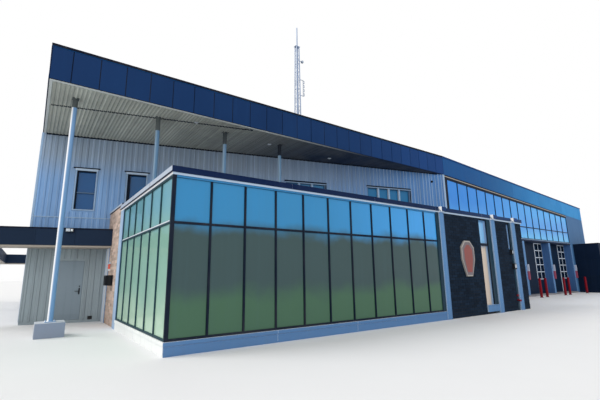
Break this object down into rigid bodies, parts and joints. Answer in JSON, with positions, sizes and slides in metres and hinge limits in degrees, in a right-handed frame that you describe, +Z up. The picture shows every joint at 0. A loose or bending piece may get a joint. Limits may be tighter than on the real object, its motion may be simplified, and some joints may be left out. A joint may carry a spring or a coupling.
{
  "type": "fire station building",
  "caption": "Fire station with a glazed front pavilion, dark brick front, vehicle doors, an overhanging roof on round columns and a lattice mast.",
  "frame": {"origin": "near corner of the glazed pavilion's glass line, at ground level", "axes": "+X to the right along the front, +Y back into the building, +Z up"},
  "size_m": [39.645, 26.155, 15.03],
  "materials": {
    "clad_metal": "blue grey metal cladding",
    "column_steel": "light painted steel",
    "concrete": "concrete",
    "dark_brick": "black brick",
    "dark_frame": "dark anodised window frames",
    "door_grid": "white coated door sections",
    "fitting_metal": "dark painted lamp housings",
    "galvanised": "galvanised steel",
    "glass": "tinted insulating glass",
    "grey_siding": "light grey ribbed metal siding",
    "light_brick": "beige pink brick",
    "light_trim": "light beige metal trim",
    "marker_paint": "red and white painted markers",
    "navy_metal": "dark navy metal panels",
    "plaque_face": "painted plaque",
    "red_paint": "red painted steel",
    "roof_membrane": "grey roof membrane",
    "soffit_metal": "ribbed soffit metal",
    "stainless": "stainless steel",
    "white_metal": "white coated sheet metal"
  },
  "bodies": {
    "building": {"back_wall": "grey_siding", "back_wall_upper": "grey_siding", "bay_header": "navy_metal", "bay_piers": "clad_metal", "bollards": "red_paint", "brick_front": "dark_brick", "brick_stub": "light_brick", "brick_window_frames": "clad_metal", "canopy": "navy_metal", "canopy_posts": "column_steel", "canopy_trim": "light_trim", "clad_posts": "clad_metal", "column_pier": "concrete", "columns": "column_steel", "door_frame": "grey_siding", "door_wall_sides": "grey_siding", "door_wall_upper": "grey_siding", "eave_trim": "light_trim", "end_wall": "clad_metal", "fascia_left": "navy_metal", "fascia_right": "navy_metal", "fittings": "fitting_metal", "frame_hinges": "stainless", "front_caps": "dark_frame", "front_glass": "glass", "front_mullions": "dark_frame", "ground_floor": "concrete", "inner_frame": "concrete", "left_wall": "grey_siding", "low_roof": "roof_membrane", "mast": "galvanised", "mast_antennas": "galvanised", "mast_pole": "galvanised", "metal_wall": "grey_siding", "pavilion_base": "white_metal", "pier_markers": "marker_paint", "plaque": "plaque_face", "right_wall": "grey_siding", "roof_cap": "navy_metal", "roof_deck": "roof_membrane", "roof_trim": "white_metal", "side_block": "navy_metal", "side_caps": "dark_frame", "side_glass": "glass", "side_mullions": "dark_frame", "soffit": "soffit_metal", "strip_caps": "dark_frame", "strip_glass": "glass", "strip_mullions": "dark_frame", "stub_cap": "navy_metal", "upper_floor": "concrete", "vehicle_door_glass": "glass", "vehicle_doors": "door_grid", "wall_window_frames": "white_metal", "window_glass": "glass"},
    "service_door": {"door_leaf": "grey_siding", "door_handle": "stainless", "leaf_hinges": "stainless"}
  },
  "joints": [
    {"name": "door_hinge", "type": "hinge", "parent": "building", "child": "service_door", "pos_m": [-1.55903, 8.19089, 1.1], "axis": [0, 0, -1], "range_deg": [0, 100]}
  ]
}
